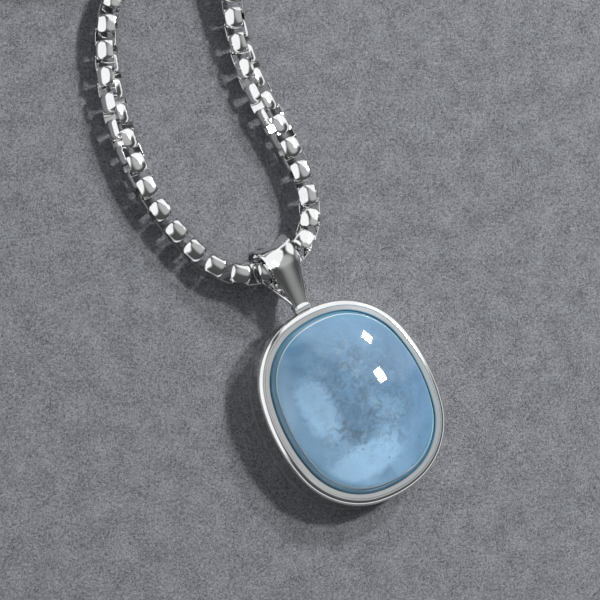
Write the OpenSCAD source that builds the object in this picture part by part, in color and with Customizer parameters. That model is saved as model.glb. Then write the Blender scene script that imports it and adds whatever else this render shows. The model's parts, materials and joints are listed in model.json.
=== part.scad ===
// Pendant necklace: an oval cabochon in a polished bezel, hung by a tapered bail on a rounded box chain
// that closes with a spring-ring clasp. Millimetres, +Z up. The pendant lies on its back at z = 0 with its
// own box centred on the origin, and +Y runs from the stone to the bail.

/* [Setting] */
// Half width of the bezel, across the pendant
bezel_a = 9.7; // [9:0.1:11]
// Half length of the bezel, along the pendant
bezel_b = 11; // [10:0.1:12.5]
// Height of the bezel wall
bezel_h = 4; // [3.5:0.1:5]
// Width of the rim, from its outer edge to the stone
rim_w = 1.25; // [0.9:0.05:1.4]
// Radius that rounds the rim's outer edge
rim_round = 0.65; // [0.3:0.05:0.7]
// Height of the stone's crisp edge above the rim
girdle_rise = 0.9; // [0.6:0.1:1.2]
// Width of the bevelled band round the stone
girdle_w = 0.5; // [0.3:0.05:0.8]
// Height of the dome above the stone's crisp edge
dome_rise = 1.9; // [1.2:0.1:2.6]

/* [Bail] */
// Distance from the stone's centre to the chain's axis in the bail
bail_reach = 16.5; // [16.2:0.1:17]
// Radius of the bail's waist, outside
bail_r = 2.2; // [2.1:0.05:2.4]
// Thickness of the bail's band
bail_t = 0.38; // [0.3:0.02:0.42]
// Width of the bail at its fold
bail_w = 4.3; // [4:0.1:4.6]
// Width of the bail at its neck, and of the tab
neck_w = 1.8; // [1.3:0.1:1.8]

/* [Chain] */
// Width of a link, across its two plates
link_w = 2.7; // [2.6:0.05:2.75]
// Length of a link
link_l = 2.07; // [2.04:0.01:2.1]
// Width of a link's plate
plate_w = 1.74; // [1.66:0.02:1.8]
// Thickness of a link's plate
plate_t = 0.3; // [0.26:0.02:0.34]
// Distance from one link to the next
pitch = 1.39; // [1.38:0.005:1.4]

/* [Clasp] */
// Outer radius of the spring ring
clasp_r = 3.5; // [3.2:0.1:3.8]
// Radius of the spring ring's tube
clasp_tube = 0.75; // [0.7:0.05:0.85]
// Outer radius of the end ring
end_ring_r = 2.5; // [2.3:0.1:2.7]
// Radius of the wire of the small rings
wire_r = 0.35; // [0.3:0.05:0.4]

/* [Hidden] */
// Smoothness of round surfaces
$fn = 48;
// Thickness of the slices that a skin is stretched over
eps = 0.05;

// The pendant's box is centred on y = 0, from the bezel's foot to the bail's flared top
flare_r = 3.7;
flare_top = bail_r + flare_r - sqrt(pow(flare_r, 2) - pow(bail_w / 2, 2));
bezel_y = (bezel_b - bail_reach - flare_top) / 2;
bail_y = bezel_y + bail_reach;
bail_z = 2.7;
front_slant = 14;
back_slant = 35;
neck_y = -4.3;
leg_end_y = -4.6;
waist_w = 3.6;
tab_top = 3.75;
tab_h = 0.85;

// The oval's outline is eight arcs: a side, an end and a corner in each quarter
side_r = bezel_a + 8.3;
end_r = bezel_b + 2;
corner_r = 8.5;
side_c = [bezel_a - side_r, 0];
end_c = [0, bezel_b - end_r];
// The corner's centre lies where its arc meets the other two without a kink
quarter_d = norm(end_c - side_c);
quarter_u = (end_c - side_c) / quarter_d;
quarter_t = (pow(side_r - corner_r, 2) - pow(end_r - corner_r, 2) + pow(quarter_d, 2)) / (2 * quarter_d);
quarter_h = sqrt(pow(side_r - corner_r, 2) - pow(quarter_t, 2));
corner_c = side_c + quarter_t * quarter_u + quarter_h * [-quarter_u[1], quarter_u[0]];
side_half = atan2(corner_c[1] - side_c[1], corner_c[0] - side_c[0]);
end_half = 90 - atan2(corner_c[1] - end_c[1], corner_c[0] - end_c[0]);

// Heights in the setting, and the radii of the stone's dome along and across it
plate_h = 0.8;
seat_h = 1.6;
seat_w = 1.2;
fit_gap = 0.02;
girdle_z = bezel_h + girdle_rise;
dome_z = girdle_z + dome_rise;
function dome_radius(half) = (pow(half, 2) + pow(dome_rise, 2)) / (2 * dome_rise);
dome_across = dome_radius(bezel_a - rim_w - girdle_w);
dome_along = dome_radius(bezel_b - rim_w - girdle_w);

// The parts of a link, and the radius that holds all of it as it rolls
bar_t = 0.3;
bar_w = 1.2;
plate_z = link_w / 2 - plate_t;
end_bow = link_l / 2 - 0.15;
round_r = 1.58;

// The chain lies as [x, y, lift off the table, turn about its own axis], from the left strand's coil over
// the bail to the right strand's coil
coil_c = [3, 64];
coil_r = 15.5;
coil_pitch = 3.3;
coil_steps = 24;
left_inner = 7.1;
right_inner = 8.1;
coil_lift = 3;
left_entry = -60;
right_entry = -15;
left_turns = (coil_r - left_inner) / coil_pitch;
right_turns = (coil_r - right_inner) / coil_pitch;
left_points = [
    [-0.85, 12.2, 1.3, 93], [-2.5, 12.55, 1.15, 98], [-4.05, 13.4, 0.75, 104], [-5.35, 14.65, 0.4, 108],
    [-6.35, 16.3, 0.1, 110], [-7.1, 18.3, 0, 111], [-8.1, 21.9, 0, 110], [-8.5, 25.9, 0, 102],
    [-8.4, 29.6, 0, 85], [-7.9, 33, 0, 67], [-6.9, 36.6, 0, 49], [-5.5, 40.2, 0, 32],
    [-4, 43.1, 0, 20], [-1.8, 45.6, 0, 10], [1.2, 47.5, 0, 3], [4.6, 48.9, 0, 0], [7.9, 49.6, 0, 0]
];
right_points = [
    [0.85, 12.2, 1.3, 86], [2.5, 12.45, 1.15, 79], [4.1, 13.1, 0.75, 72], [5.5, 14.15, 0.4, 67],
    [6.65, 15.6, 0.1, 64], [7.45, 17.4, 0, 66], [7.9, 20.1, 0, 75], [8, 23.4, 0, 89],
    [7.8, 26.3, 0, 104], [7.8, 29.1, 0, 118], [8, 31.8, 0, 131], [8.6, 35.2, 0, 145],
    [9.6, 38.8, 0.2, 156], [11, 42, 0.9, 165], [12.7, 45.4, 2, 173], [14.6, 49, coil_lift, 178],
    [16.3, 52.6, coil_lift, 180], [17.5, 56, coil_lift, 180]
];
function reversed(v) = [for (i = [len(v) - 1:-1:0]) v[i]];
// The last steps of a coil tuck inwards, to leave room for what hangs on the chain's end
function coil_point(entry, step, tucked, lift, turn) = let (
    a = entry + 360 * step / coil_steps,
    r = coil_r - coil_pitch * step / coil_steps - 0.06 * pow(tucked, 2)
) [coil_c[0] + r * cos(a), coil_c[1] + r * sin(a), lift, turn];
function coil(entry, turns, tuck, lift, turn) = let (steps = floor(turns * coil_steps))
    [for (k = [0:steps]) coil_point(entry, k, max(0, k - steps + tuck), lift, turn)];
function on_table(turn) = let (a = abs(turn - 90 * round(turn / 90)))
    min(round_r, link_w / 2 * cos(a) + sqrt(pow(round_r, 2) - pow(link_w / 2, 2)) * sin(a));
function laid(points) = [for (p = points) [p[0], p[1], p[2] + on_table(p[3]), p[3]]];
controls = laid(concat(
    reversed(concat(left_points, coil(left_entry, left_turns, 4, 0, 0))),
    right_points,
    coil(right_entry, right_turns, 0, coil_lift, 180)
));
bail_index = len(left_points) + floor(left_turns * coil_steps);

// A smooth curve along the controls, and tables of its points by the length along it
samples = 8;
function blend(p, t) = (
    pow(1 - t, 3) * p[0] + (3 * pow(t, 3) - 6 * pow(t, 2) + 4) * p[1]
    + (-3 * pow(t, 3) + 3 * pow(t, 2) + 3 * t + 1) * p[2] + pow(t, 3) * p[3]
) / 6;
curve = [
    for (i = [0:len(controls) - 4]) for (k = [0:samples - 1])
    blend([for (j = [0:3]) controls[i + j]], k / samples)
];
function place(v) = [v[0], v[1], v[2]];
runs = [for (i = 0, s = 0; i < len(curve);
    s = s + (i + 1 < len(curve) ? norm(place(curve[i + 1]) - place(curve[i])) : 0), i = i + 1) s];
tables = [for (k = [0:3]) [for (i = [0:len(curve) - 1]) [runs[i], curve[i][k]]]];
function at(s) = [for (k = [0:2]) lookup(s, tables[k])];
function turn_at(s) = lookup(s, tables[3]);
start = runs[(bail_index - 0.5) * samples];

// Links are numbered from the one in the bail, negative to the left, and both end links are even ones
first_link = -2 * floor((start - 1) / pitch / 2);
last_link = 2 * floor((runs[len(runs) - 1] - start - 1) / pitch / 2);
function heading(s) = at(s + 0.6) - at(s - 0.6);
function yaw_at(s) = let (h = heading(s)) atan2(h[1], h[0]);
function link_pose(i) = let (s = start + i * pitch, h = heading(s))
    [at(s), [turn_at(s) + 90 * (abs(i) % 2), -atan2(h[2], norm([h[0], h[1]])), yaw_at(s)]];
left_cuts = [-4, -14, -28, -48, -68, -88, -108, -128, -148, first_link];
right_cuts = [4, 13, 25, 46, 67, 88, 109, 130, last_link];

// The rings on the chain's ends: each hangs on the end wall of the last link, turned a little inwards
bar_x = (link_l - bar_t) / 2;
end_hook = 0.62;
end_tuck = 15;
clasp_hook = 0.75;
clasp_tuck = 25;
left_end = link_pose(first_link);
right_end = link_pose(last_link);
function along(point, way, reach) = point + reach * [cos(way), sin(way), 0];
left_way = left_end[1][2] + 180 + end_tuck;
right_way = right_end[1][2] + clasp_tuck;
left_bar = along(left_end[0], left_end[1][2], -bar_x);
right_bar = along(right_end[0], right_end[1][2], bar_x);
end_ring_m = end_ring_r - wire_r;
end_ring_tilt = asin((left_bar[2] - wire_r) / (2 * end_ring_m - end_hook));

// The spring ring lies on the lower coil, inside the upper one, and its eye holds the clasp ring
clasp_ring_m = 1.5;
eye_m = 0.72;
eye_wire = 0.25;
eye_turn = 40;
eye_z = link_w + eye_m + eye_wire + 0.05;
eye_x = clasp_ring_m - clasp_hook + clasp_ring_m * cos(eye_turn);
clasp_ring_tilt = asin((right_bar[2] - eye_z) / eye_x);
eye_at = along(along(right_bar, right_way, eye_x * cos(clasp_ring_tilt)), right_way + 90,
    clasp_ring_m * sin(eye_turn));
eye_c = [eye_at[0], eye_at[1], eye_z];
clasp_way = right_way + eye_turn;
clasp_m = clasp_r - clasp_tube;
eye_reach = clasp_r + eye_m - 0.12;
clasp_c = along(eye_c, clasp_way, eye_reach);

// Angles round the spring ring, counted from its eye
bore_r = 0.5;
bolt_r = 0.45;
gap_from = 100;
gap_to = 160;
bolt_from = 97;
bolt_to = 215;
bore_to = 345;
socket_from = 94;
knob_at = 169;
knob_r = 0.24;
slot_to = 228;

silver = "#d6d8dc";
stone_blue = "#7aa6c6";
steel = "#8d9298";

// The oval as points on its arcs, its outline moved in by inset
function arc_points(centre, radius, from, to, count) = [
    for (i = [0:count - 1]) let (a = from + (to - from) * i / count) centre + radius * [cos(a), sin(a)]
];
function oval_points(inset) = let (half = concat(
    arc_points(side_c, side_r - inset, -side_half, side_half, 8),
    arc_points(corner_c, corner_r - inset, side_half, 90 - end_half, 16),
    arc_points(end_c, end_r - inset, 90 - end_half, 90 + end_half, 8),
    arc_points([-corner_c[0], corner_c[1]], corner_r - inset, 90 + end_half, 180 - side_half, 16)
)) concat(half, -half);
module oval(inset) translate([0, bezel_y]) polygon(oval_points(inset));

// A thin slice of the oval at one height, to stretch a skin over
module slice(inset, z) translate([0, 0, z]) linear_extrude(eps) oval(inset);

// The solid under a dome that is rounder across the stone than along it
module dome() translate([0, bezel_y, dome_z - dome_across]) rotate([90, 0, 0])
    rotate_extrude($fn = 180) intersection() {
        translate([dome_across - dome_along, 0]) circle(r = dome_along, $fn = 180);
        translate([0, -bezel_b - 1]) square([2 * dome_along, 2 * bezel_b + 2]);
    }

module cabochon() color(stone_blue) intersection() {
    hull() {
        slice(rim_w + fit_gap, seat_h);
        slice(rim_w + fit_gap, bezel_h - 0.3);
        slice(rim_w + girdle_w, girdle_z);
        slice(rim_w + girdle_w, dome_z + 0.2);
    }
    dome();
}

module bezel_frame() color(silver) difference() {
    hull() {
        slice(0, plate_h);
        for (a = [0:30:90]) slice(rim_round * (1 - cos(a)), bezel_h - eps - rim_round * (1 - sin(a)));
    }
    translate([0, 0, plate_h - 1]) linear_extrude(bezel_h + 1) oval(rim_w);
}

module bearing_ring() color(silver) translate([0, 0, plate_h]) linear_extrude(seat_h - plate_h) difference() {
    oval(rim_w);
    oval(rim_w + seat_w);
}

module back_plate() color(silver) linear_extrude(plate_h) oval(0);

// The bail's band in section: x out from the chain's axis, y along the chain, with flared edges
module band_section() intersection() {
    translate([bail_r + flare_r, 0]) difference() {
        circle(r = flare_r + bail_t, $fn = 96);
        circle(r = flare_r, $fn = 96);
    }
    translate([0, -bail_w / 2]) square([bail_r + 1.2, bail_w]);
}

module bail() color(silver) translate([0, bail_y, bail_z]) {
    intersection() {
        rotate([0, 90, 0]) rotate([0, 0, -back_slant])
            rotate_extrude(angle = 180 + front_slant + back_slant, $fn = 96) band_section();
        bail_taper();
    }
    intersection() {
        rotate([0, 90, 0]) rotate([0, 0, -back_slant]) rotate([90, 0, 0]) linear_extrude(6) band_section();
        bail_taper();
        bail_meeting();
    }
    intersection() {
        rotate([0, 90, 0]) rotate([0, 0, 180 + front_slant]) rotate([90, 0, 0]) translate([0, 0, -6])
            linear_extrude(6) band_section();
        bail_taper();
        bail_meeting();
    }
}

// The band's outline from above
module bail_taper() translate([0, 0, -4]) linear_extrude(8) polygon([
    [-bail_w / 2, flare_top + 0.2], [bail_w / 2, flare_top + 0.2], [waist_w / 2, 0], [neck_w / 2, neck_y],
    [neck_w / 2, leg_end_y], [-neck_w / 2, leg_end_y], [-neck_w / 2, neck_y], [-waist_w / 2, 0]
]);

// The side outline that ends the back leg under the front one
module bail_meeting() rotate([90, 0, 90]) linear_extrude(6, center = true) polygon([
    [flare_top + 1, -4], [flare_top + 1, 4], [leg_end_y, 4], [leg_end_y, 0.3], [neck_y, -4]
]);

module bail_tab() color(silver) difference() {
    tab_end = bail_y + leg_end_y;
    translate([-neck_w / 2, tab_end - 3, tab_top - tab_h]) cube([neck_w, 3, tab_h]);
    linear_extrude(bezel_h + 1) oval(0);
}

// One wall of a link: thicker in the middle, for the next link to roll on
module link_bar() linear_extrude(link_w - plate_t, center = true) polygon([
    [-bar_t / 2, 0], [0, -bar_w / 2], [bar_t / 2, 0], [0, bar_w / 2]
]);

// Half of a symmetric outline and its mirror image
function both(half) = concat(half, [for (i = [len(half) - 1:-1:0]) [-half[i][0], half[i][1]]]);

// A plate of a link: its ends are pointed a little, seen from above, and its rims fall away on all four sides
module plate() intersection() {
    linear_extrude(link_w) polygon(both([
        [end_bow, -plate_w / 2], [link_l / 2, 0], [end_bow, plate_w / 2]
    ]));
    rotate([90, 0, 0]) linear_extrude(plate_w, center = true) polygon(both([
        [link_l / 2, plate_z], [link_l / 2, plate_z + 0.16], [link_l / 2 - 0.3, link_w / 2]
    ]));
    rotate([90, 0, 90]) linear_extrude(link_l, center = true) polygon(both([
        [plate_w / 2, plate_z], [plate_w / 2, plate_z + 0.18], [plate_w / 2 - 0.3, link_w / 2]
    ]));
}

// A link along X, with its two plates above and below
module link() {
    for (m = [0, 180]) rotate([m, 0, 0]) plate();
    for (m = [-1, 1]) translate([m * bar_x, 0, 0]) link_bar();
}

module links(from, to) color(silver) for (i = [min(from, to):max(from, to)]) {
    pose = link_pose(i);
    translate(pose[0]) rotate(pose[1]) link();
}

// The links between two cuts: the last group takes the end link too
module group(cuts, k) {
    outward = sign(cuts[k]);
    links(cuts[k], cuts[k + 1] - (k + 2 < len(cuts) ? outward : 0));
}

// A wire bent to an arc about Z
module bent_wire(ring, wire, from, to) rotate([0, 0, from])
    rotate_extrude(angle = to - from, $fn = 72) translate([ring, 0]) circle(r = wire, $fn = 36);

module hung_ring(bar, way, tilt, ring, hook) color(silver) translate(bar) rotate([0, tilt, way])
    translate([ring - hook, 0, 0]) bent_wire(ring, wire_r, 0, 360);

module end_ring() hung_ring(left_bar, left_way, end_ring_tilt, end_ring_m, end_hook);

module clasp_ring() hung_ring(right_bar, right_way, clasp_ring_tilt, clasp_ring_m, clasp_hook);

// The spring ring's own frame has its eye at +X
module clasp_frame() translate(clasp_c) rotate([0, 0, clasp_way + 180]) children();

module clasp_eye() color(silver) clasp_frame() translate([eye_reach, 0, 0]) rotate([90, 0, 0])
    bent_wire(eye_m, eye_wire, 0, 360);

module clasp_body() color(silver) clasp_frame() difference() {
    bent_wire(clasp_m, clasp_tube, gap_to, gap_from + 360);
    bent_wire(clasp_m, bore_r, gap_to - 1, bore_to);
    bent_wire(clasp_m, bore_r, socket_from, gap_from + 1);
    rotate([0, 0, gap_to - 1]) rotate_extrude(angle = slot_to - gap_to + 1, $fn = 72)
        translate([clasp_m, -knob_r - 0.04]) square([clasp_tube + 1, 2 * knob_r + 0.08]);
}

module clasp_bolt() color(steel) clasp_frame() {
    bent_wire(clasp_m, bolt_r, bolt_from, bolt_to);
    rotate([0, 0, knob_at]) translate([clasp_m, 0, 0]) rotate([0, 90, 0]) cylinder(r = knob_r, h = 1.3);
}

// The spring's outer shape, between the bolt's tail and the end of the bore
module clasp_spring() color(steel) clasp_frame() bent_wire(clasp_m, bolt_r - 0.05, bolt_to + 0.5, bore_to - 0.5);

cabochon();
bezel_frame();
bearing_ring();
back_plate();
bail();
bail_tab();
links(-3, 3);  // chain_centre
group(left_cuts, 0);  // left_strand_1
group(left_cuts, 1);  // left_strand_2
group(left_cuts, 2);  // left_coil_1
group(left_cuts, 3);  // left_coil_2
group(left_cuts, 4);  // left_coil_3
group(left_cuts, 5);  // left_coil_4
group(left_cuts, 6);  // left_coil_5
group(left_cuts, 7);  // left_coil_6
group(left_cuts, 8);  // left_coil_7
group(right_cuts, 0);  // right_strand_1
group(right_cuts, 1);  // right_strand_2
group(right_cuts, 2);  // right_coil_1
group(right_cuts, 3);  // right_coil_2
group(right_cuts, 4);  // right_coil_3
group(right_cuts, 5);  // right_coil_4
group(right_cuts, 6);  // right_coil_5
group(right_cuts, 7);  // right_coil_6
end_ring();
clasp_ring();
clasp_eye();
clasp_body();
clasp_bolt();
clasp_spring();
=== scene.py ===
"""A pendant necklace: an oval blue cabochon in a polished bezel, on a tapered bail and a rounded box chain.

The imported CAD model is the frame. The classes below make the finer shapes that stand on it and give every piece its
finish. Lengths in the dataclasses are millimetres, in the same frame as the CAD, and are turned into metres when a
mesh is made.
"""

import logging
import math
from bisect import bisect_right
from dataclasses import dataclass, field
from enum import Enum
from typing import Any, Callable, Sequence

import bmesh
import bpy
from mathutils import Matrix, Vector
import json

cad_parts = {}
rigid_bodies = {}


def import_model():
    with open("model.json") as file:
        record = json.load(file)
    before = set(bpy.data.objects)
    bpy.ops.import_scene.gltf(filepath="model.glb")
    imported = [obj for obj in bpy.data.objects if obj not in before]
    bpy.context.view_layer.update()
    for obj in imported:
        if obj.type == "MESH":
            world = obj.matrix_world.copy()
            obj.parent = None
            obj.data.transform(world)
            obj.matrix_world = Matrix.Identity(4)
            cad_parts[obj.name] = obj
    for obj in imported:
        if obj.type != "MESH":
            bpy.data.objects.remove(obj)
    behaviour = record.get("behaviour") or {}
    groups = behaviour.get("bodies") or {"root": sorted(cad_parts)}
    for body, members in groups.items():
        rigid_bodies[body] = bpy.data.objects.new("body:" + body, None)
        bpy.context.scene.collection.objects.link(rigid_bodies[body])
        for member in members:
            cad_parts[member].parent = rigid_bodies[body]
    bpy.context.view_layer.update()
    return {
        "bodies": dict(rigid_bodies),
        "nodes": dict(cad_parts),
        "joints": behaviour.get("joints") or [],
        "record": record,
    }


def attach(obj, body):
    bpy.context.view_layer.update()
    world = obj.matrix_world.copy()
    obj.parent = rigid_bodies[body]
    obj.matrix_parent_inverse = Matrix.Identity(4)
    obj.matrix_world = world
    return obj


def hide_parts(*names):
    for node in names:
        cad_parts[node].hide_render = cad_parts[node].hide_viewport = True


log = logging.getLogger("necklace")
MM = 0.001
SHORTEST_CORD = 0.03
SENSOR = 36.0
Point = tuple[float, float, float]


class Slot(Enum):
    """The record's material slots."""

    CHAIN = "chain_silver"
    SETTING = "setting_silver"
    CLASP = "clasp_silver"
    STONE = "stone"
    STEEL = "steel"


# --------------------------------------------------------------------------------- shader expressions


class Term:
    """A shader socket that can be used in Python arithmetic."""

    def __init__(self, maker: "ShaderMaker", socket: Any) -> None:
        """Wraps a socket.

        Args:
            maker: The tree's maker, which adds the Math nodes.
            socket: An output socket of a node in that tree.
        """
        self.maker = maker
        self.socket = socket

    def _math(self, operation: str, *values: Any) -> "Term":
        """Adds one Math node on this term and other values."""
        return self.maker.node("ShaderNodeMath", {"operation": operation}, dict(enumerate(values)))

    def __add__(self, other: Any) -> "Term":
        """self + other."""
        return self._math("ADD", self, other)

    def __radd__(self, other: Any) -> "Term":
        """other + self."""
        return self._math("ADD", other, self)

    def __sub__(self, other: Any) -> "Term":
        """self - other."""
        return self._math("SUBTRACT", self, other)

    def __rsub__(self, other: Any) -> "Term":
        """other - self."""
        return self._math("SUBTRACT", other, self)

    def __mul__(self, other: Any) -> "Term":
        """self * other."""
        return self._math("MULTIPLY", self, other)

    def __rmul__(self, other: Any) -> "Term":
        """other * self."""
        return self._math("MULTIPLY", other, self)

    def __truediv__(self, other: Any) -> "Term":
        """self / other."""
        return self._math("DIVIDE", self, other)

    def __pow__(self, other: Any) -> "Term":
        """self to the power of other."""
        return self._math("POWER", self, other)

    def clamp(self) -> "Term":
        """This term held between 0 and 1."""
        return self.maker.node("ShaderNodeClamp", {}, {"Value": self})

    def step(self, low: float, high: float) -> "Term":
        """A smooth rise from 0 at low to 1 at high.

        Args:
            low: Where the rise starts.
            high: Where it ends. Below low, the rise becomes a fall.

        Returns:
            The risen term, between 0 and 1.
        """
        return self.maker.node(
            "ShaderNodeMapRange",
            {"interpolation_type": "SMOOTHSTEP"},
            {"Value": self, "From Min": low, "From Max": high},
        )


class ShaderMaker:
    """Builds the nodes of one material, or of the room."""

    def __init__(self, name: str, tree: bpy.types.NodeTree | None = None) -> None:
        """Starts a material with a Principled shader and nothing else, or goes on in a tree that there is.

        Args:
            name: The material's name.
            tree: Another node tree to work in, such as the room's.
        """
        if tree is not None:
            self.tree = tree
            return
        self.material = bpy.data.materials.new(name)
        self.material.use_nodes = True
        self.tree = self.material.node_tree
        self.tree.nodes.clear()
        self.output = self.tree.nodes.new("ShaderNodeOutputMaterial")
        self.shader = self.tree.nodes.new("ShaderNodeBsdfPrincipled")
        self.tree.links.new(self.shader.outputs[0], self.output.inputs["Surface"])

    def node(self, kind: str, settings: dict[str, Any], inputs: dict[Any, Any], output: Any = 0) -> Term:
        """Adds any node.

        Args:
            kind: The node's type.
            settings: Its own settings, set first.
            inputs: The values or terms of its sockets, by name or number.
            output: The name or number of the output socket to use.

        Returns:
            The chosen output as a term.
        """
        made = self.tree.nodes.new(kind)
        for key, value in settings.items():
            setattr(made, key, value)
        for key, value in inputs.items():
            self.feed(made.inputs[key], value)
        return Term(self, made.outputs[output])

    def feed(self, socket: Any, value: Any) -> None:
        """Gives a socket a term's link or a plain value.

        Args:
            socket: The input to feed.
            value: The term or the plain value.
        """
        if isinstance(value, Term):
            self.tree.links.new(value.socket, socket)
        else:
            socket.default_value = value

    def surface(self, **sockets: Any) -> None:
        """Feeds the Principled shader's sockets, with _ in place of a space."""
        for name, value in sockets.items():
            self.feed(self.shader.inputs[name.replace("_", " ")], value)

    def place(self, turn: Point = (0.0, 0.0, 0.0), shift: Point = (0.0, 0.0, 0.0)) -> Term:
        """Object coordinates in millimetres, shifted and turned.

        Args:
            turn: The turns about X, Y and Z, in radians.
            shift: The shift, in millimetres.

        Returns:
            The place as a vector term.
        """
        where = self.node("ShaderNodeTexCoord", {}, {}, "Object")
        return self.node(
            "ShaderNodeMapping",
            {"vector_type": "POINT"},
            {"Vector": where, "Location": shift, "Rotation": turn, "Scale": (1000.0, 1000.0, 1000.0)},
        )

    def noise(self, where: Term, scale: float, detail: float = 2.0, rough: float = 0.5, warp: float = 0.0) -> Term:
        """Noise on a place, where scale counts waves a millimetre.

        Args:
            where: The place.
            scale: Waves a millimetre.
            detail: How many finer layers it has.
            rough: How strong the finer layers are.
            warp: How much the noise bends itself.

        Returns:
            The noise, between 0 and 1.
        """
        return self.node(
            "ShaderNodeTexNoise",
            {},
            {"Vector": where, "Scale": scale, "Detail": detail, "Roughness": rough, "Distortion": warp},
        )

    def mix(self, factor: Any, first: Any, second: Any) -> Term:
        """A colour between two colours.

        Args:
            factor: 0 for the first colour, 1 for the second.
            first: A colour, or the term of one.
            second: A colour, or the term of one.

        Returns:
            The mixed colour's term.
        """
        made = self.tree.nodes.new("ShaderNodeMix")
        made.data_type = "RGBA"
        self.feed(made.inputs[0], factor)
        for socket, value in ((made.inputs[6], first), (made.inputs[7], second)):
            self.feed(socket, value if isinstance(value, Term) else (*value, 1.0))
        return Term(self, made.outputs[2])

    def bump(self, height: Term, strength: float, distance: float) -> Term:
        """A bumped normal from a height."""
        return self.node(
            "ShaderNodeBump", {}, {"Height": height, "Strength": strength, "Distance": distance}, "Normal"
        )


# ------------------------------------------------------------------------------------------- finishes


@dataclass(frozen=True)
class PolishedSilver:
    """White silver with a mirror polish, a haze of fine wear and darker traces of tarnish."""

    name: str
    colour: tuple[float, float, float] = (0.93, 0.925, 0.91)
    shade: tuple[float, float, float] = (0.78, 0.785, 0.79)
    polish: float = 0.075
    haze: float = 0.06
    swirl: float = 1.3

    def make(self) -> bpy.types.Material:
        """Builds the material.

        Returns:
            The finished material.
        """
        maker = ShaderMaker(self.name)
        where = maker.place()
        cloud = maker.noise(where, 0.35 * self.swirl, 3.0, 0.55)
        fine = maker.noise(where, 6.0 * self.swirl, 4.0, 0.65, 0.4)
        streak = maker.noise(maker.place((0.3, 0.2, 0.7)), 22.0, 2.0, 0.5)
        worn = (fine.step(0.45, 0.75) * 0.6 + streak.step(0.5, 0.8) * 0.4).clamp()
        maker.surface(
            Base_Color=maker.mix(cloud.step(0.35, 0.8) * 0.45, self.colour, self.shade),
            Metallic=1.0,
            Roughness=worn * self.haze + self.polish,
            Normal=maker.bump(fine + streak * 0.4, 0.012, 0.0001),
        )
        return maker.material


@dataclass(frozen=True)
class DrawnSteel:
    """Springy steel wire, duller than the silver, with marks of drawing."""

    name: str
    colour: tuple[float, float, float] = (0.5, 0.51, 0.53)

    def make(self) -> bpy.types.Material:
        """Builds the material.

        Returns:
            The finished material.
        """
        maker = ShaderMaker(self.name)
        grain = maker.noise(maker.place(), 12.0, 3.0, 0.6)
        maker.surface(
            Base_Color=maker.mix(grain.step(0.3, 0.7), self.colour, (0.4, 0.41, 0.43)),
            Metallic=1.0,
            Roughness=grain * 0.15 + 0.2,
            Normal=maker.bump(grain, 0.05, 0.0001),
        )
        return maker.material


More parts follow.
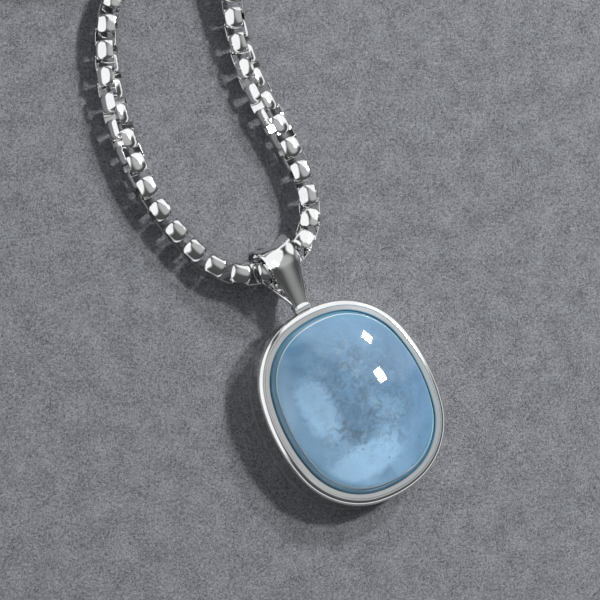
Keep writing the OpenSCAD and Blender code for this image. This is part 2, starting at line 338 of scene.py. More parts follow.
@dataclass(frozen=True)
class MilkyStone:
    """A milky blue stone with cloudy veils and a few dark specks under its polish, with painted light: paler patches
    low down and to the left, painted shade towards the lamps and a painted highlight line round the girdle.
    """

    name: str
    centre_y: float
    deep: tuple[float, float, float] = (0.075, 0.145, 0.235)
    body: tuple[float, float, float] = (0.115, 0.22, 0.33)
    veil: tuple[float, float, float] = (0.23, 0.31, 0.36)
    # Painted light: the pale blue of the light painted inside the stone
    painted_glow: tuple[float, float, float] = (0.3, 0.49, 0.68)
    smoke: tuple[float, float, float] = (0.06, 0.095, 0.13)
    speck: tuple[float, float, float] = (0.03, 0.07, 0.1)
    # Painted highlight: the pale colour of the bright line round the girdle's shoulder
    line: tuple[float, float, float] = (0.75, 0.82, 0.84)

    def make(self) -> bpy.types.Material:
        """Builds the material.

        Returns:
            The finished material.
        """
        maker = ShaderMaker(self.name)
        where = maker.place(shift=(0.0, -self.centre_y, 0.0))
        x = maker.node("ShaderNodeSeparateXYZ", {}, {"Vector": where}, "X")
        y = maker.node("ShaderNodeSeparateXYZ", {}, {"Vector": where}, "Y")
        rim = ((x / 8.1) ** 2.0 + (y / 9.4) ** 2.0) ** 0.5
        cloud = maker.noise(where, 0.17, 4.0, 0.6, 0.7)
        wisps = maker.noise(maker.place((0.0, 0.0, 0.9), (0.0, 0.0, 2.0)), 0.45, 7.0, 0.7, 1.4)
        smoke = maker.noise(maker.place((0.0, 0.4, 0.3)), 0.9, 6.0, 0.78, 0.8)
        grit = maker.noise(where, 2.6, 4.0, 0.7)
        dots = maker.node("ShaderNodeTexVoronoi", {}, {"Vector": where, "Scale": 0.8}, "Distance")
        low = (y / -9.7).step(-0.1, 0.6)
        middle = rim.step(1.0, 0.35)
        colour = maker.mix(cloud.step(0.32, 0.68), self.deep, self.body)
        # Painted light: light gathers in two soft patches low down and to the left, behind the smoky middle, and in a
        # crescent along the lower left edge
        colour = maker.mix(low * cloud.step(0.3, 0.6) * 0.45, colour, self.painted_glow)
        ragged = (cloud - 0.5) * 2.2 + (smoke - 0.5) * 1.6
        # Painted light: soft patches of light to the left and low down
        left = (((x + 4.6) / 1.6) ** 2.0 + ((y - 1.2) / 3.4) ** 2.0 + ragged).step(1.7, 0.3)
        painted_foot_light = (((x + 2.0) / 4.2) ** 2.0 + ((y + 6.1) / 1.6) ** 2.0 + ragged).step(1.7, 0.3)
        # Painted light: a crescent of light along the lower left edge
        edge = ((x * -0.9 - y * 0.4) / 8.0).step(0.3, 0.8)
        colour = maker.mix((left * 0.5 + painted_foot_light * 0.65 + edge * 0.5).clamp(), colour, self.painted_glow)
        # Painted shade: the stone is darker towards +X, the side of the lamps, opposite the painted light
        colour = maker.mix(((x - y * 0.2) / 8.0).step(0.1, 0.8) * 0.65, colour, self.deep)
        colour = maker.mix((wisps.step(0.46, 0.7) * 0.5 * middle).clamp(), colour, self.veil)
        haze = smoke.step(0.46, 0.62) * middle * (1.0 - left * 0.6) * (1.0 - painted_foot_light * 0.6) * 0.65
        colour = maker.mix(haze.clamp(), colour, self.smoke)
        colour = maker.mix(grit.step(0.54, 0.7) * 0.14, colour, self.veil)
        colour = maker.mix((dots.step(0.1, 0.04) * low * 0.75).clamp(), colour, self.speck)
        colour = maker.mix(rim.step(0.95, 1.02) * 0.5, colour, (0.07, 0.2, 0.27))
        # Painted highlight: a pale line along the marked shoulder ring
        crisp = maker.node("ShaderNodeAttribute", {"attribute_name": "crisp_edge"}, {}, "Fac")
        colour = maker.mix(crisp.step(0.1, 0.9) * 0.75, colour, self.line)
        maker.surface(
            Base_Color=colour,
            Roughness=grit * 0.02 + 0.025,
            IOR=1.56,
            Subsurface_Weight=0.15,
            Subsurface_Radius=(0.4, 0.8, 1.2),
            Subsurface_Scale=0.0012,
            Coat_Weight=0.3,
            Coat_Roughness=0.03,
            Normal=maker.bump(grit, 0.006, 0.0001),
        )
        return maker.material


@dataclass(frozen=True)
class FeltedPaper:
    """The grey sheet that the necklace lies on: short fibres, flecks and soft blotches."""

    name: str
    light: tuple[float, float, float] = (0.255, 0.262, 0.28)
    dark: tuple[float, float, float] = (0.045, 0.047, 0.053)

    def make(self) -> bpy.types.Material:
        """Builds the material.

        Returns:
            The finished material.
        """
        maker = ShaderMaker(self.name)
        where = maker.place()
        blotch = maker.noise(where, 0.4, 4.0, 0.6)
        fleck = maker.noise(where, 3.4, 6.0, 0.85, 0.8)
        fibre = maker.noise(where, 7.5, 3.0, 0.8, 1.4)
        tone = (blotch * 0.1 + fleck * 0.4 + fibre * 0.5).step(0.41, 0.59)
        colour = maker.mix(tone, self.dark, self.light)
        colour = maker.mix(fibre.step(0.36, 0.46) * -0.5 + 0.5, colour, (0.05, 0.053, 0.06))
        maker.surface(
            Base_Color=colour,
            Roughness=0.92,
            Specular_IOR_Level=0.15,
            Normal=maker.bump(fleck + fibre * 0.8, 0.6, 0.0003),
        )
        return maker.material


# ---------------------------------------------------------------------------------------- mesh making


def mesh_object(
    name: str, points: Sequence[Point], faces: Sequence[Sequence[int]], smooth: float
) -> bpy.types.Object:
    """Makes an object at the origin from points in millimetres.

    Args:
        name: The object's name.
        points: The corners.
        faces: The faces, each a list of corner numbers.
        smooth: The angle in degrees under which neighbouring faces shade as one.

    Returns:
        The linked object, with its normals pointing out.
    """
    mesh = bpy.data.meshes.new(name)
    mesh.from_pydata([tuple(c * MM for c in p) for p in points], [], [list(f) for f in faces])
    work = bmesh.new()
    work.from_mesh(mesh)
    bmesh.ops.remove_doubles(work, verts=work.verts, dist=1e-7)
    bmesh.ops.recalc_face_normals(work, faces=work.faces)
    for face in work.faces:
        face.smooth = True
    for edge in work.edges:
        if len(edge.link_faces) == 2 and edge.calc_face_angle(0.0) > math.radians(smooth):
            edge.smooth = False
    work.to_mesh(mesh)
    work.free()
    made = bpy.data.objects.new(name, mesh)
    bpy.context.scene.collection.objects.link(made)
    return made


def dress(piece: bpy.types.Object, material: bpy.types.Material) -> None:
    """Gives a piece one material.

    Args:
        piece: The piece to finish.
        material: Its material.
    """
    piece.data.materials.clear()
    piece.data.materials.append(material)


def lofted(rings: Sequence[Sequence[Point]], close: bool) -> tuple[list[Point], list[list[int]]]:
    """Joins closed rings of points with quads.

    Args:
        rings: The rings, all with the same number of points.
        close: Whether the last ring joins the first.

    Returns:
        The points and the faces.
    """
    count = len(rings[0])
    points = [p for ring in rings for p in ring]
    faces = []
    for r in range(len(rings) if close else len(rings) - 1):
        s = (r + 1) % len(rings)
        for k in range(count):
            j = (k + 1) % count
            faces.append([r * count + k, r * count + j, s * count + j, s * count + k])
    return points, faces


# ---------------------------------------------------------------------------------------- the setting


@dataclass
class Oval:
    """The bezel's outline: eight arcs that meet without a kink."""

    half_x: float = 9.7
    half_y: float = 11.0
    centre_y: float = -4.1944
    side_r: float = 18.0
    end_r: float = 13.0
    corner_r: float = 8.5
    corner: tuple[float, float] = (0.88888, 2.41134)
    side_half: float = 14.704
    end_half: float = 11.3924

    def ring(self, inset: float, z: float, fine: int = 3) -> list[Point]:
        """Points round the oval, moved in by inset, at one height.

        Args:
            inset: How far inside the outer edge.
            z: The height.
            fine: How many points a step of the coarse outline has.

        Returns:
            The points, counter-clockwise.
        """
        half = []
        arcs = (
            ((self.half_x - self.side_r, 0.0), self.side_r, -self.side_half, self.side_half, 8),
            (self.corner, self.corner_r, self.side_half, 90 - self.end_half, 16),
            ((0.0, self.half_y - self.end_r), self.end_r, 90 - self.end_half, 90 + self.end_half, 8),
            ((-self.corner[0], self.corner[1]), self.corner_r, 90 + self.end_half, 180 - self.side_half, 16),
        )
        for centre, radius, start, stop, steps in arcs:
            for i in range(steps * fine):
                a = math.radians(start + (stop - start) * i / (steps * fine))
                reach = radius - inset
                half.append((centre[0] + reach * math.cos(a), centre[1] + reach * math.sin(a)))
        both = half + [(-x, -y) for x, y in half]
        return [(x, y + self.centre_y, z) for x, y in both]


@dataclass
class Setting:
    """The stone and its bezel."""

    silver: bpy.types.Material
    stone: bpy.types.Material
    oval: Oval = field(default_factory=Oval)
    wall_top: float = 4.0
    wall_foot: float = 0.8
    rim: float = 1.25
    rounding: float = 0.65
    girdle: float = 0.5
    line: float = 0.09
    girdle_z: float = 4.9
    dome: float = 1.9
    seat_z: float = 1.6

    def bezel(self) -> bpy.types.Object:
        """The wall and rim: a rounded outer band, a fine groove line and a flat inner band.

        Returns:
            The bezel's object.
        """
        profile: list[tuple[float, float]] = [(0.0, self.wall_foot), (0.0, self.wall_top - self.rounding)]
        for k in range(1, 9):
            a = math.radians(90 * k / 8)
            profile.append(
                (self.rounding * (1 - math.cos(a)), self.wall_top - self.rounding * (1 - math.sin(a)))
            )
        profile += [
            (self.rounding + 0.06, self.wall_top - 0.07),
            (self.rim - 0.12, self.wall_top - 0.03),
            (self.rim - 0.03, self.wall_top - 0.1),
            (self.rim, self.wall_top - 0.2),
            (self.rim, self.wall_foot),
        ]
        points, faces = lofted([self.oval.ring(inset, z) for inset, z in profile], True)
        piece = mesh_object("bezel_shell", points, faces, 35)
        dress(piece, self.silver)
        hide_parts("bezel_frame")
        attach(piece, "pendant")
        return piece

    def _dome_z(self, x: float, y: float) -> float:
        """The dome's height over a place on the stone, counted from the oval's centre.

        Args:
            x: The distance across.
            y: The distance along.

        Returns:
            The height.
        """
        reach_x, reach_y = self.oval.half_x - self.rim - self.girdle, self.oval.half_y - self.rim - self.girdle
        across = (reach_x**2 + self.dome**2) / (2 * self.dome)
        along = (reach_y**2 + self.dome**2) / (2 * self.dome)
        bow = across - along + math.sqrt(max(along**2 - y * y, 0.0))
        return self.girdle_z + self.dome - across + math.sqrt(max(bow * bow - x * x, 0.0))

    def cabochon(self) -> bpy.types.Object:
        """The stone: a straight wall, a bevelled girdle and a smooth dome.

        Returns:
            The stone's object.
        """
        inset = self.rim + 0.02
        rings = [self.oval.ring(inset + 0.3, self.seat_z), self.oval.ring(inset, self.seat_z)]
        rings.append(self.oval.ring(inset, self.wall_top - 0.3))
        shoulder = self.rim + self.girdle
        edge = self.oval.ring(shoulder, 0.0)
        crisp = [(x, y, self._dome_z(x, y - self.oval.centre_y) - 0.03) for x, y, _ in edge]
        share = self.line / self.girdle
        wall = rings[-1]
        rings.append([tuple(c + (w - c) * share for c, w in zip(high, wide)) for high, wide in zip(crisp, wall)])
        rings.append(crisp)
        for shrink in [0.995, 0.985, 0.965] + [0.94 - 0.055 * k for k in range(17)]:
            ring = []
            for x, y, _ in edge:
                px, py = x * shrink, (y - self.oval.centre_y) * shrink
                ring.append((px, py + self.oval.centre_y, self._dome_z(px, py)))
            rings.append(ring)
        points, faces = lofted(rings, False)
        count = len(edge)
        faces.append(list(range(count)))
        points.append((0.0, self.oval.centre_y, self._dome_z(0.0, 0.0)))
        last = (len(rings) - 1) * count
        faces += [[last + k, last + (k + 1) % count, len(points) - 1] for k in range(count)]
        piece = mesh_object("polished_stone", points, faces, 20)
        # The shoulder ring's points are marked, so that the stone's material paints a highlight line there
        marked = {tuple(round(c, 4) for c in spot) for spot in crisp}
        mark = piece.data.attributes.new("crisp_edge", "FLOAT", "POINT")
        for corner in piece.data.vertices:
            mark.data[corner.index].value = float(tuple(round(c / MM, 4) for c in corner.co) in marked)
        dress(piece, self.stone)
        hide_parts("cabochon")
        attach(piece, "pendant")
        return piece

    def make(self) -> list[bpy.types.Object]:
        """Makes the stone and the bezel.

        Returns:
            The two new pieces.
        """
        return [self.bezel(), self.cabochon()]


@dataclass
class Bail:
    """The folded band that the chain runs through, waisted like a saddle."""

    silver: bpy.types.Material
    axis_y: float = 12.3056
    axis_z: float = 2.7
    waist: float = 2.2
    flare: float = 3.7
    wall: float = 0.38
    half_width: float = 2.15
    half_fold: float = 1.8
    half_neck: float = 0.9
    neck_y: float = -4.3
    front_slant: float = 14.0
    back_slant: float = 35.0
    edge_round: float = 0.09

    def _half(self, y: float) -> float:
        """The band's half width where it passes a distance along Y from the chain's axis.

        Args:
            y: The distance from the axis, away from the stone.

        Returns:
            The half width.
        """
        if y >= 0:
            return min(self.half_width, self.half_fold + (self.half_width - self.half_fold) * y / 2.8)
        share = min(1.0, y / self.neck_y)
        return self.half_fold + (self.half_neck - self.half_fold) * share

    def _stations(self) -> list[tuple[float, float]]:
        """The turn about the chain and the run along the leg of each cross-section.

        Returns:
            The sections in order, from the front leg's end over the fold to the back leg's end.
        """
        stations = [(180.0 + self.front_slant, 4.9 - 0.35 * k) for k in range(15)]
        turn = 180.0 + self.front_slant + self.back_slant
        steps = 48
        stations += [(180.0 + self.front_slant - turn * k / steps, 0.0) for k in range(steps + 1)]
        stations += [(-self.back_slant, 0.35 * k) for k in range(1, 15)]
        return stations

    def _spot(self, x: float, radius: float, turn: float, run: float) -> Point:
        """A point of the band: the turn is counted from below, through the fold, to above.

        Args:
            x: The distance from the middle of the band's width.
            radius: The distance from the chain's axis.
            turn: The turn about that axis, in degrees.
            run: The distance along the leg, past the fold.

        Returns:
            The point.
        """
        a = math.radians(turn)
        out = Vector((0.0, math.sin(a), -math.cos(a)))
        along = Vector((0.0, -math.cos(a), -math.sin(a))) * (1.0 if turn < 90 else -1.0)
        spot = out * radius + along * run
        return (x, self.axis_y + spot.y, self.axis_z + spot.z)

    def _radius(self, x: float, outside: bool) -> float:
        """The band's radius at a distance from its waist."""
        flare = self.flare if outside else self.flare + self.wall
        return self.waist + self.flare - math.sqrt(flare**2 - x * x)

    def band(self) -> bpy.types.Object:
        """The band itself, from the front leg's end over the fold to the back leg's end.

        Returns:
            The band's object.
        """
        rings = []
        for turn, run in self._stations():
            centre = self._spot(0.0, self.waist, turn, run)
            half = self._half(centre[1] - self.axis_y)
            ring = []
            for k in range(-8, 9):
                x = k / 8 * (half - (self.edge_round if abs(k) == 8 else 0.0) * 0.35)
                drop = 0.07 if abs(k) == 8 else 0.0
                ring.append(self._spot(x, self._radius(x, True) - drop, turn, run))
            for k in range(8, -9, -1):
                x = k / 8 * (half - (self.edge_round if abs(k) == 8 else 0.0) * 0.35)
                drop = 0.07 if abs(k) == 8 else 0.0
                ring.append(self._spot(x, self._radius(x, False) + drop, turn, run))
            rings.append(ring)
        points, faces = lofted(rings, False)
        count = len(rings[0])
        faces.append(list(range(count)))
        faces.append(list(range(len(points) - count, len(points))))
        piece = mesh_object("bail_band", points, faces, 50)
        dress(piece, self.silver)
        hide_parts("bail")
        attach(piece, "pendant")
        return piece

    def make(self) -> list[bpy.types.Object]:
        """Makes the band.

        Returns:
            The new pieces.
        """
        return [self.band()]


# ------------------------------------------------------------------------------------------ the chain


@dataclass
class Route:
    """The chain's line: a smooth curve along listed points, with the chain's turn about itself at each."""

    coil_c: tuple[float, float] = (3.0, 64.0)
    coil_r: float = 15.5
    coil_pitch: float = 3.3
    coil_steps: int = 24
    left_inner: float = 7.1
    right_inner: float = 8.1
    coil_lift: float = 3.0
    left_entry: float = -60.0
    right_entry: float = -15.0
    link_w: float = 2.7
    round_r: float = 1.58
    pitch: float = 1.39
    samples: int = 8
    left: tuple[tuple[float, float, float, float], ...] = (
        (-0.85, 12.2, 1.3, 93), (-2.5, 12.55, 1.15, 98), (-4.05, 13.4, 0.75, 104), (-5.35, 14.65, 0.4, 108),
        (-6.35, 16.3, 0.1, 110), (-7.1, 18.3, 0, 111), (-8.1, 21.9, 0, 110), (-8.5, 25.9, 0, 102),
        (-8.4, 29.6, 0, 85), (-7.9, 33, 0, 67), (-6.9, 36.6, 0, 49), (-5.5, 40.2, 0, 32),
        (-4, 43.1, 0, 20), (-1.8, 45.6, 0, 10), (1.2, 47.5, 0, 3), (4.6, 48.9, 0, 0), (7.9, 49.6, 0, 0),
    )  # fmt: skip
    right: tuple[tuple[float, float, float, float], ...] = (
        (0.85, 12.2, 1.3, 86), (2.5, 12.45, 1.15, 79), (4.1, 13.1, 0.75, 72), (5.5, 14.15, 0.4, 67),
        (6.65, 15.6, 0.1, 64), (7.45, 17.4, 0, 66), (7.9, 20.1, 0, 75), (8, 23.4, 0, 89),
        (7.8, 26.3, 0, 104), (7.8, 29.1, 0, 118), (8, 31.8, 0, 131), (8.6, 35.2, 0, 145),
        (9.6, 38.8, 0.2, 156), (11, 42, 0.9, 165), (12.7, 45.4, 2, 173), (14.6, 49, 3, 178),
        (16.3, 52.6, 3, 180), (17.5, 56, 3, 180),
    )  # fmt: skip

    def __post_init__(self) -> None:
        """Works out the curve and its running lengths."""
        left_coil = self._coil(self.left_entry, (self.coil_r - self.left_inner) / self.coil_pitch, 4, 0.0, 0.0)
        right_coil = self._coil(
            self.right_entry, (self.coil_r - self.right_inner) / self.coil_pitch, 0, self.coil_lift, 180.0
        )
        laid = list(reversed(list(self.left) + left_coil)) + list(self.right) + right_coil
        controls = [(x, y, lift + self._on_table(turn), turn) for x, y, lift, turn in laid]
        self.curve = [
            self._blend(controls[i : i + 4], k / self.samples)
            for i in range(len(controls) - 3)
            for k in range(self.samples)
        ]
        self.runs = [0.0]
        for a, b in zip(self.curve, self.curve[1:]):
            self.runs.append(self.runs[-1] + math.dist(a[:3], b[:3]))
        bail = len(self.left) + len(left_coil) - 1
        self.start = self.runs[int((bail - 0.5) * self.samples)]
        self.first = -2 * math.floor((self.start - 1) / self.pitch / 2)
        self.last = 2 * math.floor((self.runs[-1] - self.start - 1) / self.pitch / 2)

    def _on_table(self, turn: float) -> float:
        """The height of a turned link's middle when it lies on the table."""
        a = math.radians(abs(turn - 90 * round(turn / 90)))
        half = self.link_w / 2
        return min(self.round_r, half * math.cos(a) + math.sqrt(self.round_r**2 - half**2) * math.sin(a))

    def _coil(
        self, entry: float, turns: float, tuck: int, lift: float, turn: float
    ) -> list[tuple[float, float, float, float]]:
        """The points of one flat coil, wound inwards.

        Args:
            entry: Where the coil begins, in degrees.
            turns: How many turns it has.
            tuck: How many last steps tuck inwards.
            lift: Its height over the table.
            turn: The chain's turn about itself.

        Returns:
            The points, each with its height and turn.
        """
        steps = math.floor(turns * self.coil_steps)
        points = []
        for k in range(steps + 1):
            a = math.radians(entry + 360 * k / self.coil_steps)
            r = self.coil_r - self.coil_pitch * k / self.coil_steps - 0.06 * max(0, k - steps + tuck) ** 2
            points.append((self.coil_c[0] + r * math.cos(a), self.coil_c[1] + r * math.sin(a), lift, turn))
        return points

    @staticmethod
    def _blend(p: Sequence[Sequence[float]], t: float) -> tuple[float, ...]:
        """A point of the uniform cubic B-spline over four controls."""
        w = ((1 - t) ** 3, 3 * t**3 - 6 * t * t + 4, -3 * t**3 + 3 * t * t + 3 * t + 1, t**3)
        return tuple(sum(w[j] * p[j][k] for j in range(4)) / 6 for k in range(4))

    def at(self, s: float) -> tuple[float, ...]:
        """The place and turn at a length along the curve.

        Args:
            s: The length from the curve's start.

        Returns:
            The place in millimetres and the turn in degrees.
        """
        i = min(max(bisect_right(self.runs, s) - 1, 0), len(self.runs) - 2)
        t = min(max((s - self.runs[i]) / (self.runs[i + 1] - self.runs[i]), 0.0), 1.0)
        return tuple(a + (b - a) * t for a, b in zip(self.curve[i], self.curve[i + 1]))

    def pose(self, link: int) -> tuple[Vector, Vector]:
        """Where a link lies.

        Args:
            link: The link's number, 0 in the bail.

        Returns:
            Its middle in millimetres, and its turns about X, Y and Z in radians.
        """
        s = self.start + link * self.pitch
        here = self.at(s)
        ahead = Vector(self.at(s + 0.6)[:3]) - Vector(self.at(s - 0.6)[:3])
        turns = (
            math.radians(here[3] + 90 * (abs(link) % 2)),
            -math.atan2(ahead.z, math.hypot(ahead.x, ahead.y)),
            math.atan2(ahead.y, ahead.x),
        )
        return Vector(here[:3]), Vector(turns)


@dataclass(frozen=True)
class Stretch:
    """A run of links that moves as one body."""

    name: str
    body: str
    nodes: tuple[str, ...]
    start: int
    stop: int


@dataclass
class Link:
    """One box link: two crowned plates and two walls."""

    length: float = 2.07
    width: float = 2.7
    plate: float = 1.8
    thick: float = 0.3
    wall: float = 0.26
    wall_width: float = 1.25
    crown: float = 0.26
    lip: float = 0.16
    bulge: float = 0.12

    def _plate(self, sign: int) -> tuple[list[Point], list[list[int]]]:
        """One plate, crowned across its width, with bulging ends and a soft lip all round.

        Args:
            sign: 1 for the upper plate and -1 for the lower.

        Returns:
            The points and the faces.
        """
        us, vs = (-1.0, -0.9, -0.62, 0.0, 0.62, 0.9, 1.0), (-1.0, -0.8, -0.4, 0.0, 0.4, 0.8, 1.0)
        points, faces = [], []
        for u in us:
            for v in vs:
                x = u * (self.length / 2 - self.bulge * v * v)
                drop = self.crown * v * v + self.lip * max(0.0, abs(u) - 0.6) ** 2 / 0.16
                points.append((x, v * self.plate / 2, sign * (self.width / 2 - drop)))
        n = len(vs)
        for i in range(len(us) - 1):
            for j in range(n - 1):
                faces.append([i * n + j, i * n + j + 1, (i + 1) * n + j + 1, (i + 1) * n + j])
        rim = (
            [i * n for i in range(len(us))]
            + [(len(us) - 1) * n + j for j in range(1, n)]
            + [i * n + n - 1 for i in range(len(us) - 2, -1, -1)]
            + [j for j in range(n - 2, 0, -1)]
        )
        base = len(points)
        for index in rim:
            x, y, _ = points[index]
            points.append((x, y, sign * (self.width / 2 - self.thick)))
        for k in range(len(rim)):
            j = (k + 1) % len(rim)
            faces.append([rim[k], rim[j], base + j, base + k])
        faces.append([base + k for k in range(len(rim))])
        return points, faces

    def _wall(self, sign: int) -> tuple[list[Point], list[list[int]]]:
        """One end wall, lens-shaped in section.

        Args:
            sign: 1 for the wall at +X and -1 for the other.

        Returns:
            The points and the faces.
        """
        middle = sign * (self.length / 2 - self.wall / 2 - 0.03)
        section = [
            (middle + self.wall / 2 * math.cos(math.radians(a)), self.wall_width / 2 * math.sin(math.radians(a)))
            for a in range(0, 360, 45)
        ]
        low = -self.width / 2 + self.thick * 0.6
        return lofted([[(x, y, z) for x, y in section] for z in (low, -low)], False)

    def make(self) -> bpy.types.Object:
        """Makes the link along X, in millimetres on the metre scale, for the chain's tree to repeat.

        Returns:
            The link's object, which the tree reads and is then removed.
        """
        points: list[Point] = []
        faces: list[list[int]] = []
        for part in (self._plate(1), self._plate(-1), self._wall(1), self._wall(-1)):
            base = len(points)
            points += part[0]
            faces += [[base + i for i in face] for face in part[1]]
        return mesh_object("link_pattern", points, faces, 40)


@dataclass
class ChainTree:
    """The Geometry Nodes tree that sets a link on every point of a stretch."""

    name: str = "box_chain"

    def make(self) -> bpy.types.NodeTree:
        """Builds the tree.

        Returns:
            The tree, with inputs Link, Link Size and Finish.
        """
        tree = bpy.data.node_groups.new(self.name, "GeometryNodeTree")
        sockets = tree.interface
        sockets.new_socket("Geometry", in_out="INPUT", socket_type="NodeSocketGeometry")
        sockets.new_socket("Link", in_out="INPUT", socket_type="NodeSocketObject")
        size = sockets.new_socket("Link Size", in_out="INPUT", socket_type="NodeSocketFloat")
        size.default_value = 1.0
        sockets.new_socket("Finish", in_out="INPUT", socket_type="NodeSocketMaterial")
        sockets.new_socket("Geometry", in_out="OUTPUT", socket_type="NodeSocketGeometry")
        nodes, links = tree.nodes, tree.links
        entry, leave = nodes.new("NodeGroupInput"), nodes.new("NodeGroupOutput")
        pattern = nodes.new("GeometryNodeObjectInfo")
        turns = nodes.new("GeometryNodeInputNamedAttribute")
        turns.data_type = "FLOAT_VECTOR"
        turns.inputs["Name"].default_value = "turns"
        spin = nodes.new("FunctionNodeEulerToRotation")
        strew = nodes.new("GeometryNodeInstanceOnPoints")
        real = nodes.new("GeometryNodeRealizeInstances")
        paint = nodes.new("GeometryNodeSetMaterial")
        links.new(entry.outputs["Link"], pattern.inputs["Object"])
        links.new(entry.outputs["Geometry"], strew.inputs["Points"])
        links.new(pattern.outputs["Geometry"], strew.inputs["Instance"])
        links.new(turns.outputs["Attribute"], spin.inputs[0])
        links.new(spin.outputs[0], strew.inputs["Rotation"])
        links.new(entry.outputs["Link Size"], strew.inputs["Scale"])
        links.new(strew.outputs["Instances"], real.inputs["Geometry"])
        links.new(real.outputs["Geometry"], paint.inputs["Geometry"])
        links.new(entry.outputs["Finish"], paint.inputs["Material"])
        links.new(paint.outputs["Geometry"], leave.inputs["Geometry"])
        return tree


@dataclass
class Chain:
    """The box chain, one mesh for each body."""

    silver: bpy.types.Material
    nodes: dict[str, bpy.types.Object]
    route: Route = field(default_factory=Route)
    link: Link = field(default_factory=Link)

    def stretches(self) -> list[Stretch]:
        """The chain's bodies with their links, from the bail outwards on each side.

        Returns:
            The stretches.
        """
        coil_l = tuple(f"left_coil_{k}" for k in range(1, 8))
        coil_r = tuple(f"right_coil_{k}" for k in range(1, 7))
        return [
            Stretch("links_bail", "chain_centre", ("chain_centre",), -3, 3),
            Stretch("links_left_1", "left_strand_1", ("left_strand_1",), -4, -13),
            Stretch("links_left_2", "left_strand_2", ("left_strand_2",), -14, -27),
            Stretch("links_left_coil", "left_coil", coil_l, -28, self.route.first),
            Stretch("links_right_1", "right_strand_1", ("right_strand_1",), 4, 12),
            Stretch("links_right_2", "right_strand_2", ("right_strand_2",), 13, 24),
            Stretch("links_right_coil", "right_coil", coil_r, 25, self.route.last),
        ]

    def _points(self, stretch: Stretch) -> bpy.types.Object:
        """The stretch's link places as loose points that carry their turns.

        Args:
            stretch: The stretch of links.

        Returns:
            The object with the points.
        """
        step = 1 if stretch.stop >= stretch.start else -1
        poses = [self.route.pose(i) for i in range(stretch.start, stretch.stop + step, step)]
        mesh = bpy.data.meshes.new(stretch.name + "_points")
        mesh.from_pydata([tuple(place * MM) for place, _ in poses], [], [])
        turns = mesh.attributes.new("turns", "FLOAT_VECTOR", "POINT")
        for index, (_, turn) in enumerate(poses):
            turns.data[index].vector = turn
        made = bpy.data.objects.new(stretch.name + "_points", mesh)
        bpy.context.scene.collection.objects.link(made)
        return made

    def _path(self, stretch: Stretch) -> list[Point]:
        """The stretch's line, end to end, in metres.

        Args:
            stretch: The stretch of links.

        Returns:
            The points along it.
        """
        step = 1 if stretch.stop >= stretch.start else -1
        pitch = self.route.pitch
        begin = self.route.start + (stretch.start - 0.5 * step) * pitch
        end = self.route.start + (stretch.stop + 0.5 * step) * pitch
        count = 2 * (abs(stretch.stop - stretch.start) + 1)
        return [
            tuple(c * MM for c in self.route.at(begin + (end - begin) * k / count)[:3])
            for k in range(count + 1)
        ]

    def _declare(self, stretch: Stretch) -> None:
        """Works out the length of a stretch's line, and goes no further.

        Args:
            stretch: The stretch of links.
        """
        path = self._path(stretch)
        length = sum(math.dist(a, b) for a, b in zip(path, path[1:]))
        if length < SHORTEST_CORD:
            return

    def make(self) -> list[bpy.types.Object]:
        """Makes every stretch.

        Returns:
            The meshes, one for each body.
        """
        tree = ChainTree().make()
        pattern = self.link.make()
        keys = {item.name: item.identifier for item in tree.interface.items_tree if item.in_out == "INPUT"}
        pieces = []
        for stretch in self.stretches():
            points = self._points(stretch)
            build = points.modifiers.new("links", "NODES")
            build.node_group = tree
            build[keys["Link"]] = pattern
            build[keys["Link Size"]] = 1.0
            build[keys["Finish"]] = self.silver
            graph = bpy.context.evaluated_depsgraph_get()
            mesh = bpy.data.meshes.new_from_object(points.evaluated_get(graph))
            mesh.name = stretch.name
            piece = bpy.data.objects.new(stretch.name, mesh)
            bpy.context.scene.collection.objects.link(piece)
            bpy.data.objects.remove(points)
            dress(piece, self.silver)
            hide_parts(*stretch.nodes)
            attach(piece, stretch.body)
            self._declare(stretch)
            pieces.append(piece)
        bpy.data.objects.remove(pattern)
        return pieces


# ----------------------------------------------------------------------------------------- the studio


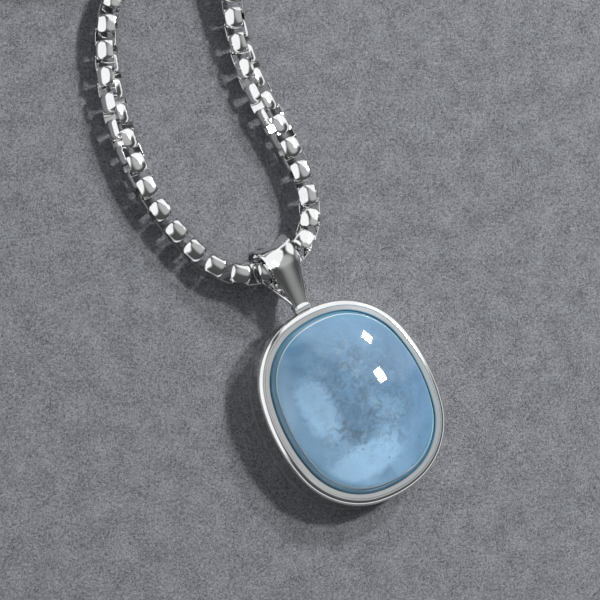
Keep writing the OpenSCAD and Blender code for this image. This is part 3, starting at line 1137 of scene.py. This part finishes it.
@dataclass
class Studio:
    """The sheet, the soft lights and the camera."""

    target: Point = (0.04, 7.96, 4.0)
    tilt: float = 20.0
    turn: float = 28.0
    distance: float = 420.0
    field: float = 63.56
    glows: tuple[tuple[Point, float, float, float], ...] = (
        ((0.0, 0.0, 1.0), 0.0, 180.0, 0.08),
        ((0.25, 0.05, 0.95), 14.0, 40.0, 0.38),
        ((0.3, 0.85, 0.6), 7.0, 15.0, 0.7),
        ((0.85, 0.75, 0.5), 32.0, 44.0, 1.6),
        ((-0.9, 0.6, 0.5), 32.0, 44.0, 1.4),
    )
    skirt: float = 0.38
    skirt_level: float = 1.3
    lamps: tuple[tuple[str, Point, float, float], ...] = (
        ("key", (0.651, 0.043, 0.74), 0.064, 3.5),
        ("second", (0.742, 0.34, 0.583), 0.052, 2.3),
    )

    def camera(self) -> None:
        """Sets the camera, looking down from the side of -X, with the pendant turned in the picture."""
        data = bpy.data.cameras.new("camera")
        data.sensor_width = SENSOR
        data.lens = self.distance * SENSOR / self.field
        data.clip_start, data.clip_end = 0.01, 20.0
        eye = bpy.data.objects.new("camera", data)
        bpy.context.scene.collection.objects.link(eye)
        a, b = math.radians(self.tilt), math.radians(self.turn)
        across, along = Vector((math.cos(a), 0.0, math.sin(a))), Vector((0.0, 1.0, 0.0))
        right = across * math.cos(b) - along * math.sin(b)
        up = across * math.sin(b) + along * math.cos(b)
        back = right.cross(up)
        frame = Matrix((right, up, back)).transposed().to_4x4()
        frame.translation = (Vector(self.target) + back * self.distance) * MM
        eye.matrix_world = frame
        bpy.context.scene.camera = eye

    def _lamp(self, name: str, way: Point, size: float, power: float, reach: float = 0.6) -> None:
        """A small soft box that faces the pendant from a direction.

        Args:
            name: The lamp's name.
            way: The direction it stands in.
            size: The side of the box, in metres.
            power: Its power.
            reach: Its distance from the pendant, in metres.
        """
        data = bpy.data.lights.new(name, "AREA")
        data.shape = "SQUARE"
        data.size = size
        data.energy = power
        lamp = bpy.data.objects.new(name, data)
        bpy.context.scene.collection.objects.link(lamp)
        out = Vector(way).normalized()
        place = Matrix.Translation(Vector(self.target) * MM + out * reach)
        lamp.matrix_world = place @ out.to_track_quat("Z", "Y").to_matrix().to_4x4()

    def lights(self) -> None:
        """Sets the room, which is pale with one dark side, and the two small lamps."""
        world = bpy.data.worlds.new("room")
        bpy.context.scene.world = world
        bpy.context.scene.view_settings.view_transform = "Standard"
        world.use_nodes = True
        maker = ShaderMaker("room", world.node_tree)
        way = maker.node("ShaderNodeTexCoord", {}, {}, "Generated")
        height = maker.node("ShaderNodeSeparateXYZ", {}, {"Vector": way}, "Z")
        tone: Any = 0.0
        for aim, inner, outer, level in self.glows:
            aimed = maker.node("ShaderNodeVectorMath", {"operation": "DOT_PRODUCT"},
                               {0: way, 1: tuple(Vector(aim).normalized())}, "Value")  # fmt: skip
            tone = aimed.step(math.cos(math.radians(outer)), math.cos(math.radians(inner))) * level + tone
        tone = tone + height.step(self.skirt, 0.0) * self.skirt_level
        shade = maker.mix(tone, (0.0, 0.0, 0.0), (0.985, 1.0, 1.02))
        world.node_tree.nodes["Background"].inputs[1].default_value = 1.0
        maker.feed(world.node_tree.nodes["Background"].inputs[0], shade)
        for name, aim, size, power in self.lamps:
            self._lamp(name, aim, size, power)

    def floor(self, finish: bpy.types.Material) -> None:
        """Lays the sheet.

        Args:
            finish: The sheet's material.
        """
        points = [(-600.0, -600.0, 0.0), (600.0, -600.0, 0.0), (600.0, 600.0, 0.0), (-600.0, 600.0, 0.0)]
        sheet = mesh_object("sheet", points, [[0, 1, 2, 3]], 30)
        dress(sheet, finish)


def finish_nodes(frame: dict[str, Any], finishes: dict[Slot, bpy.types.Material]) -> None:
    """Gives every CAD node that still shows the finish of its slot.

    Args:
        finishes: The material of each slot.
    """
    slots = {part["node"]: Slot(part["material_slot"]) for part in frame["record"]["subparts"]}
    for name, node in frame["nodes"].items():
        finish = finishes[slots[name]]
        if not node.material_slots:
            node.data.materials.append(finish)
        for place in node.material_slots:
            place.material = finish


def main() -> None:
    """Builds the necklace's looks on the frame."""
    logging.basicConfig(level=logging.INFO, format="%(name)s: %(message)s")
    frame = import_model()
    studio = Studio()
    studio.camera()
    finishes = {
        Slot.CHAIN: PolishedSilver("chain_silver", swirl=1.0).make(),
        Slot.SETTING: PolishedSilver("setting_silver", polish=0.05, haze=0.035).make(),
        Slot.CLASP: PolishedSilver("clasp_silver", swirl=1.6).make(),
        Slot.STONE: MilkyStone("milky_blue_stone", Oval().centre_y).make(),
        Slot.STEEL: DrawnSteel("drawn_steel").make(),
    }
    finish_nodes(frame, finishes)
    # The plate behind the stone is rubbed down, not polished
    satin = PolishedSilver("satin_silver", polish=0.3, haze=0.14, swirl=2.0).make()
    for place in frame["nodes"]["back_plate"].material_slots:
        place.material = satin
    makers: list[Callable[[], list[bpy.types.Object]]] = [
        Chain(finishes[Slot.CHAIN], frame["nodes"]).make,
        Setting(finishes[Slot.SETTING], finishes[Slot.STONE]).make,
        Bail(finishes[Slot.SETTING]).make,
    ]
    for maker in makers:
        for piece in maker():
            log.info("%s: %d faces", piece.name, len(piece.data.polygons))
    studio.lights()
    studio.floor(FeltedPaper("felted_paper").make())


if __name__ == "__main__":
    main()
